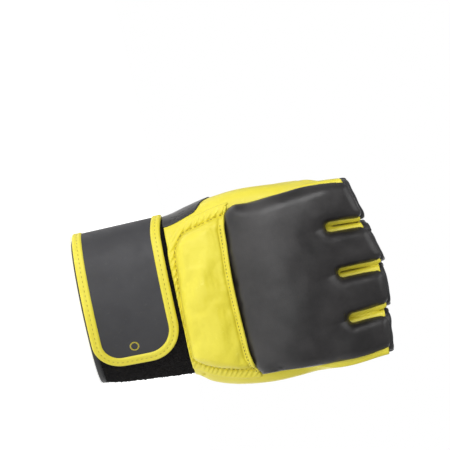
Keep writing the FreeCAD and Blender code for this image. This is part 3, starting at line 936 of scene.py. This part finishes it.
def fuzz(along, z):
    """The loops' uneven height, and the edge tucked in under the leather."""
    rng = np.random.default_rng(4)
    tucked = 1.6 * ease((z - CUFF_TOP + 2) / 3)
    return 0.35 * rng.normal(size=along.shape) + 0.3 * ripple(along, 0, z, 7, 31) - tucked


def build_cuff():
    turn, half, low_z = 2 * math.pi, math.pi, HEM_TOP - 1
    sleeve = cuff_sheet(HEM_TOP - 2, CUFF_TOP + 3, 0, turn, 0.3, 2.0, 30, 181)
    make("cuff_sleeve_knit", sleeve, SLEEVE, "hand", "cuff_sleeve")
    loops = cuff_sheet(low_z, CUFF_TOP + 2.5, half, turn, 2.1, PANEL_OUT, 110, 260, fuzz)
    make("cuff_loop_pile", loops, LOOPS, "hand", "cuff_loop_panel")
    palm = cuff_sheet(low_z, CUFF_TOP + 4.5, 0, half, 2.1, PANEL_OUT + 0.2, 50, 120)
    make("cuff_palm_knit", palm, SLEEVE, "hand", "cuff_palm_panel")
    middle = HEM_TOP / 2 + 0.4
    path = cuff(np.linspace(0, turn, 200, endpoint=False), np.full(200, middle), 2.0)
    hem = tube(path, np.tile(UP, (200, 1)), rounded_section(2.5, middle, 3.0), loop=True)
    make("cuff_hem_binding", hem, BINDING, "hand", "cuff_hem")


def strap_angles():
    """The cuff angle for each length of strap, measured from the fold at the little finger's side."""
    angle = np.linspace(math.pi / 2 - 1.2, 2 * math.pi, 900)
    gone = steps_along(cuff(angle, np.full(900, STRAP_MIDDLE), (STRAP_IN + STRAP_OUT) / 2))
    return gone - np.interp(math.pi, angle, gone), angle


STRAP_RUN, STRAP_ANGLE = strap_angles()


def strap(run, z, out):
    """A point of the strap: run is the length along it from the fold, towards the free end."""
    return cuff(np.interp(run, STRAP_RUN, STRAP_ANGLE), z, out)


def run_at(x, palm=False):
    """The run where the strap's middle reaches a given x."""
    side = STRAP_RUN < 0 if palm else STRAP_RUN > 0
    points = strap(STRAP_RUN[side], np.full(side.sum(), STRAP_MIDDLE), (STRAP_IN + STRAP_OUT) / 2)
    return STRAP_RUN[side][np.argmin(np.abs(points[:, 0] - x))]


def strap_edges(run, end):
    """The strap's lower and upper edge at a run, with the free end's two rounded corners."""
    def inset(radius):
        past = np.clip((run - (end - radius)) / radius, 0, 1)
        return radius * (1 - np.sqrt(np.maximum(1 - past ** 2, 0)))
    return STRAP_LOW + inset(LOW_CORNER), strap_top(run) - inset(HIGH_CORNER)


def strap_top(run):
    """The strap's upper edge, which dips a little as it leaves the fold."""
    return STRAP_HIGH + 0.8 - 2.4 * ease(run / 24)


def sideways(path):
    """The unit direction square to a (run, z) path at each point."""
    tangent = unit(np.gradient(path, axis=0))
    return np.stack([-tangent[:, 1], tangent[:, 0]], 1)


def strap_outline(end):
    """(run, z) points along the middle of the flap's edging, from the fold round the free end."""
    straight = end - HIGH_CORNER
    corner = straight + HIGH_CORNER * np.sin(np.linspace(0, math.pi / 2, 40))
    runs = np.concatenate([np.linspace(0, straight, 40), corner])
    lower, upper = strap_edges(runs, end)
    path = even(np.concatenate([np.stack([runs, lower], 1), np.stack([runs, upper], 1)[::-1]]), 1.0)
    return path + EDGING_MIDDLE * sideways(path)


def strap_sheet(first, last, end, inner, outer, columns, margin=1.0):
    ease_in = np.sin(np.linspace(0, math.pi / 2, columns)) if end else np.linspace(0, 1, columns)
    runs = first + (last - first) * ease_in
    lower, upper = strap_edges(runs, end) if end else (np.full(columns, STRAP_LOW), strap_top(runs))
    share = np.linspace(0, 1, 44)[None, :]
    z = (lower + margin)[:, None] * (1 - share) + (upper - margin)[:, None] * share
    run = runs[:, None] * np.ones((1, 44))
    return slab(strap(run, z, outer), strap(run, z, inner))


def edging(path):
    """A folded yellow binding along (run, z) points, dished along its stitched middle."""
    inner, outer = STRAP_IN - 0.6, STRAP_OUT + 1.0
    section = rounded_section(3.2, (outer - inner) / 2, 3.0, 30)
    dish = 0.55 * ridge(section[:, 0], 1.0) * np.sign(section[:, 1])
    rings = []
    for p, s in zip(path, sideways(path)):
        flat = p + section[:, :1] * s
        rings.append(strap(flat[:, 0], flat[:, 1], (inner + outer) / 2 + section[:, 1] - dish))
    return sweep(rings)


def on_strap(path, out):
    """Points over a (run, z) path on the strap, and the outward direction at each."""
    points = strap(*path.T, out)
    return points, strap(*path.T, out + 1.0) - points


def build_edging(prefix, suffix, path, body, node):
    """A yellow edging and the stitches down its middle."""
    row = stitches(*on_strap(path, STRAP_OUT + 0.55))
    return (make(f"{prefix}_edging{suffix}", edging(path), YELLOW, body, node),
            make(f"{prefix}_stitches{suffix}", row, YELLOW_THREAD, body))


def build_strap():
    end = run_at(high("strap_edging", 0))
    start = run_at(high("strap_wrap", 0), palm=True)
    leather_end, hook_end = end - 1.5, end - 11
    sheet = strap_sheet(0, leather_end, leather_end, STRAP_IN, STRAP_OUT, 70)
    flap = make("strap_flap_leather", sheet, STRAP_GREY, None, "strap_flap")
    rim, seam = build_edging("strap_flap", "", strap_outline(end), None, "strap_edging")
    sheet = strap_sheet(start, 0, None, STRAP_IN, STRAP_OUT, 60)
    make("strap_wrap_leather", sheet, STRAP_GREY, "hand", "strap_wrap")
    runs = np.linspace(start, 0, 90)
    for part, z in (("_lower", STRAP_LOW + EDGING_MIDDLE + 0 * runs),
                    ("_upper", strap_top(runs) - EDGING_MIDDLE)):
        build_edging("strap_wrap", part, np.stack([runs, z], 1), "hand", "strap_wrap_edging")
    hook_start = run_at(low("strap_hook_patch", 0))
    sheet = strap_sheet(hook_start, hook_end, hook_end, STRAP_IN - 0.9, STRAP_IN + 0.1, 30, 11)
    hooks = make("strap_hook_tape", sheet, HOOKS, None, "strap_hook_patch")
    # a small plain ring stands where the size is printed
    turn = np.linspace(0, 2 * math.pi, 40, endpoint=False)
    ring = np.stack([run_at(27) + 2.6 * np.cos(turn), 28 + 2.6 * np.sin(turn)], 1)
    ring = tube(*on_strap(ring, STRAP_OUT + 0.05), rounded_section(0.5, 0.2, 2.5, 8), loop=True)
    mark = make("strap_ring_mark", ring, YELLOW_THREAD)
    for piece in (flap, rim, seam, hooks, mark):
        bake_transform(piece)


# ------------ stage
WHITE = (1, 1, 1, 1)


def build_stage():
    turn = np.linspace(0, 2 * math.pi, 96, endpoint=False)
    floor = new_object("floor", 1150 * np.stack([np.cos(turn), np.sin(turn), 0 * turn], 1), [tuple(range(96))])
    mat = Paint("floor_paint")
    mat.shader(Base_Color=(0.9, 0.9, 0.9, 1), Roughness=mat.ramp(mat.noise(40.0), 0.3, 0.7, 0.7, 0.8),
               Emission_Color=WHITE, Emission_Strength=0.68)
    floor.data.materials.append(mat.material)

    # the camera sees a brighter white than the one that lights the glove
    scene.world = world = bpy.data.worlds.new("studio")
    world.use_nodes = True
    nodes, links = world.node_tree.nodes, world.node_tree.links
    background, strength = nodes["Background"], nodes.new("ShaderNodeMapRange")
    background.inputs["Color"].default_value = WHITE
    strength.inputs["To Min"].default_value = 0.33
    links.new(nodes.new("ShaderNodeLightPath").outputs["Is Camera Ray"], strength.inputs["Value"])
    links.new(strength.outputs["Result"], background.inputs["Strength"])

    middle = Vector((0.005, -0.01, 0.1))
    for name, place, width, height, power in (
            ("key", (-0.75, -0.75, 0.12), 0.7, 0.7, 7.0), ("band", (-0.05, -1.2, 0.13), 1.2, 0.3, 2.2),
            ("top", (-0.3, -0.2, 1.15), 0.8, 0.8, 3.0), ("back", (0.3, 0.95, 0.4), 1.0, 1.0, 5)):
        light = bpy.data.lights.new(name, "AREA")
        light.shape, light.size, light.size_y, light.energy = "RECTANGLE", width, height, power
        lamp = bpy.data.objects.new(name, light)
        lamp.location = place
        lamp.rotation_euler = (middle - lamp.location).to_track_quat("-Z", "Y").to_euler()
        lamp.visible_camera = False
        scene.collection.objects.link(lamp)
    scene.view_settings.view_transform = "Standard"


def build_camera():
    """The glove lies across the frame, fingers to the right and a little up, seen from its back."""
    data = bpy.data.cameras.new("camera")
    data.lens, data.sensor_width = 120, 36
    camera = bpy.data.objects.new("camera", data)
    scene.collection.objects.link(camera)
    roll, tilt = math.radians(12), math.radians(-3.5)
    right = Vector((math.sin(roll), 0, math.cos(roll)))
    towards = Matrix.Rotation(tilt, 3, right) @ Vector((0, -1, 0))
    up = towards.cross(right)
    width = 0.2925
    distance = width * data.lens / data.sensor_width
    target = Vector((-0.0345, 0, 0.1))
    turned = Matrix((right, up, towards)).transposed().to_4x4()
    camera.matrix_world = Matrix.Translation(target + towards * distance) @ turned
    bpy.context.scene.camera = camera


build_pads()
build_seams()
build_leather()
build_palm_trim()
build_palm_seams()
build_stall_ends()
build_cuff()
build_strap()
build_stage()
build_camera()

bpy.context.view_layer.update()
